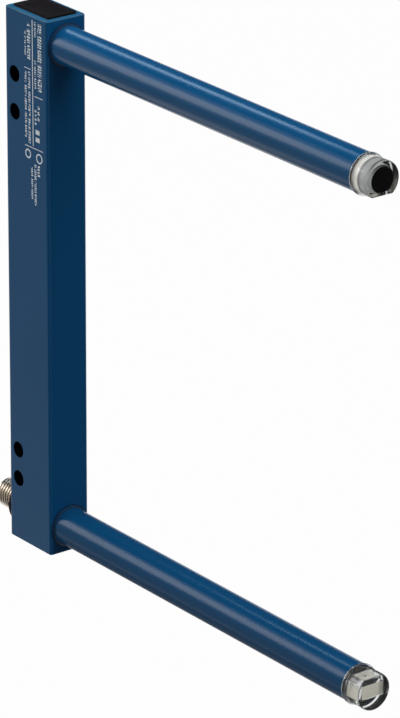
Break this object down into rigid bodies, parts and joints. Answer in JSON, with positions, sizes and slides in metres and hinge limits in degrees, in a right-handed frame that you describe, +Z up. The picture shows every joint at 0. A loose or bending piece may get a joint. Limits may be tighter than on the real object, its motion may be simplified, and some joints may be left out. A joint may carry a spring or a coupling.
{
  "type": "fork sensor",
  "caption": "Photoelectric fork sensor: blue rectangular column with two long round arms, clear optical tips facing across the gap, and a round threaded connector at the back.",
  "frame": {"origin": "midway between the two outer fixing holes, on their common plane and midway through the column's width", "axes": "+Z up along the column, the arms point along -Y, the connector points along +Y, and the fixing screws run along X"},
  "size_m": [0.012, 0.152, 0.1452],
  "materials": {
    "blue_paint": "satin blue powder coat on steel",
    "black_plastic": "matt moulded black",
    "smoked_clear": "polished, lightly smoked clear plastic",
    "grey_plastic": "pale grey moulding",
    "ivory_plastic": "ivory moulding",
    "chip_black": "moulded black epoxy",
    "light_window": "clear yellowish epoxy",
    "lead_film": "amber film over copper",
    "board_green": "solder mask on glass laminate",
    "capacitor_tan": "ceramic",
    "nickel_plate": "nickel-plated brass",
    "gold_plate": "gold-plated pins"
  },
  "bodies": {
    "root": {"column_tube": "blue_paint", "upper_arm_tube": "blue_paint", "lower_arm_tube": "blue_paint", "top_end_plug": "black_plastic", "bottom_end_plug": "black_plastic", "upper_lens_cap": "smoked_clear", "lower_lens_cap": "smoked_clear", "receiver_holder": "grey_plastic", "receiver_barrel": "black_plastic", "receiver_chip": "chip_black", "emitter_foot": "black_plastic", "emitter_block": "ivory_plastic", "emitter_chip": "light_window", "upper_arm_lead": "lead_film", "lower_arm_lead": "lead_film", "circuit_board": "board_green", "upper_carrier": "black_plastic", "lower_carrier": "black_plastic", "processor": "chip_black", "regulator": "chip_black", "capacitors": "capacitor_tan", "resistors": "chip_black", "connector_shell": "nickel_plate", "connector_collar": "black_plastic", "connector_nut": "nickel_plate", "connector_insert": "black_plastic", "contact_pins": "gold_plate", "status_led": "light_window", "light_guide": "light_window"}
  },
  "joints": []
}
